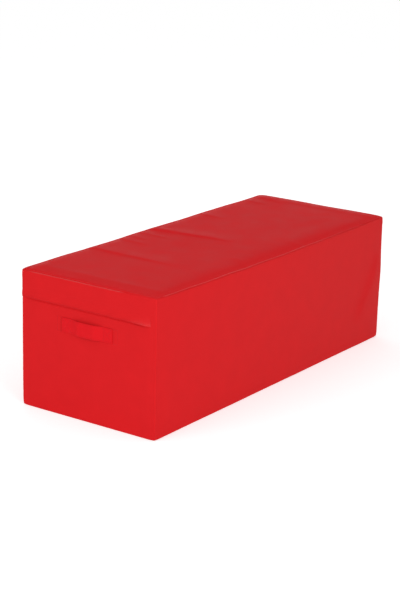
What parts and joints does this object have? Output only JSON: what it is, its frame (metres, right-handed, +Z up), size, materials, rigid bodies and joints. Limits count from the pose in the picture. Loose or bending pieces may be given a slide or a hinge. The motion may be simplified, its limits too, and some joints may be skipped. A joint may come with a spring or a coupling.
{
  "type": "spotting block",
  "caption": "Long foam block in a zipped coated-fabric cover, for a coach to stand on, with a strap handle on each end.",
  "frame": {"origin": "middle of the underside, on the floor", "axes": "+X along the block towards the end with the zip slider, +Y across it towards the rear, +Z up; the pictured end is at -X and the pictured long side at -Y"},
  "size_m": [1.8466, 0.7, 0.6],
  "materials": {
    "cover": "satin",
    "strap": "satin",
    "thread": "satin",
    "firm_foam": "matte",
    "core_foam": "matte",
    "zip_tape": "matte",
    "zip_coil": "satin",
    "zip_metal": "satin"
  },
  "bodies": {
    "block": {"base_panel": "cover", "front_panel": "cover", "rear_lower_panel": "cover", "left_lower_panel": "cover", "right_lower_panel": "cover", "foam_base_layer": "firm_foam", "foam_lower_core": "core_foam", "foam_upper_core": "core_foam", "foam_top_layer": "firm_foam", "zip_tape_lower": "zip_tape", "zip_coil_lower": "zip_coil", "zip_start_stop": "zip_metal", "zip_end_stop": "zip_metal", "left_front_patch": "cover", "left_rear_patch": "cover", "right_front_patch": "cover", "right_rear_patch": "cover", "left_strap_front_end": "strap", "left_strap_rear_end": "strap", "right_strap_front_end": "strap", "right_strap_rear_end": "strap", "left_front_box_stitch": "thread", "left_rear_box_stitch": "thread", "right_front_box_stitch": "thread", "right_rear_box_stitch": "thread"},
    "lid": {"top_panel": "cover", "left_band": "cover", "right_band": "cover", "rear_band": "cover", "zip_tape_upper": "zip_tape", "zip_coil_upper": "zip_coil"},
    "left_flap": {"left_zip_flap": "cover"},
    "right_flap": {"right_zip_flap": "cover"},
    "rear_flap": {"rear_zip_flap": "cover"},
    "slider": {"zip_slider": "zip_metal"},
    "pull": {"zip_pull_tab": "zip_metal"},
    "left_grip": {"left_strap_grip": "strap"},
    "right_grip": {"right_strap_grip": "strap"}
  },
  "joints": [
    {"name": "lid_fold", "type": "hinge", "parent": "block", "child": "lid", "pos_m": [0, -0.35, 0.6], "axis": [1, 0, 0], "range_deg": [0, 110]},
    {"name": "left_flap_lift", "type": "hinge", "parent": "lid", "child": "left_flap", "pos_m": [-0.9, 0, 0.5197], "axis": [0, 1, 0], "range_deg": [0, 160]},
    {"name": "right_flap_lift", "type": "hinge", "parent": "lid", "child": "right_flap", "pos_m": [0.9, 0, 0.5197], "axis": [0, -1, 0], "range_deg": [0, 160]},
    {"name": "rear_flap_lift", "type": "hinge", "parent": "lid", "child": "rear_flap", "pos_m": [0, 0.35, 0.5197], "axis": [1, 0, 0], "range_deg": [0, 160]},
    {"name": "slider_run", "type": "slide", "parent": "block", "child": "slider", "axis": [0, 1, 0], "range_m": [0, 0.62]},
    {"name": "pull_swing", "type": "hinge", "parent": "slider", "child": "pull", "pos_m": [0.89725, -0.3125, 0.5035], "axis": [0, 0, -1], "range_deg": [0, 150]},
    {"name": "left_grip_tilt", "type": "hinge", "parent": "block", "child": "left_grip", "pos_m": [-0.9, 0, 0.396], "axis": [0, 1, 0], "range_deg": [-20, 20], "stiffness_Nm_per_rad": 0.05},
    {"name": "right_grip_tilt", "type": "hinge", "parent": "block", "child": "right_grip", "pos_m": [0.9, 0, 0.396], "axis": [0, -1, 0], "range_deg": [-20, 20], "stiffness_Nm_per_rad": 0.05}
  ]
}
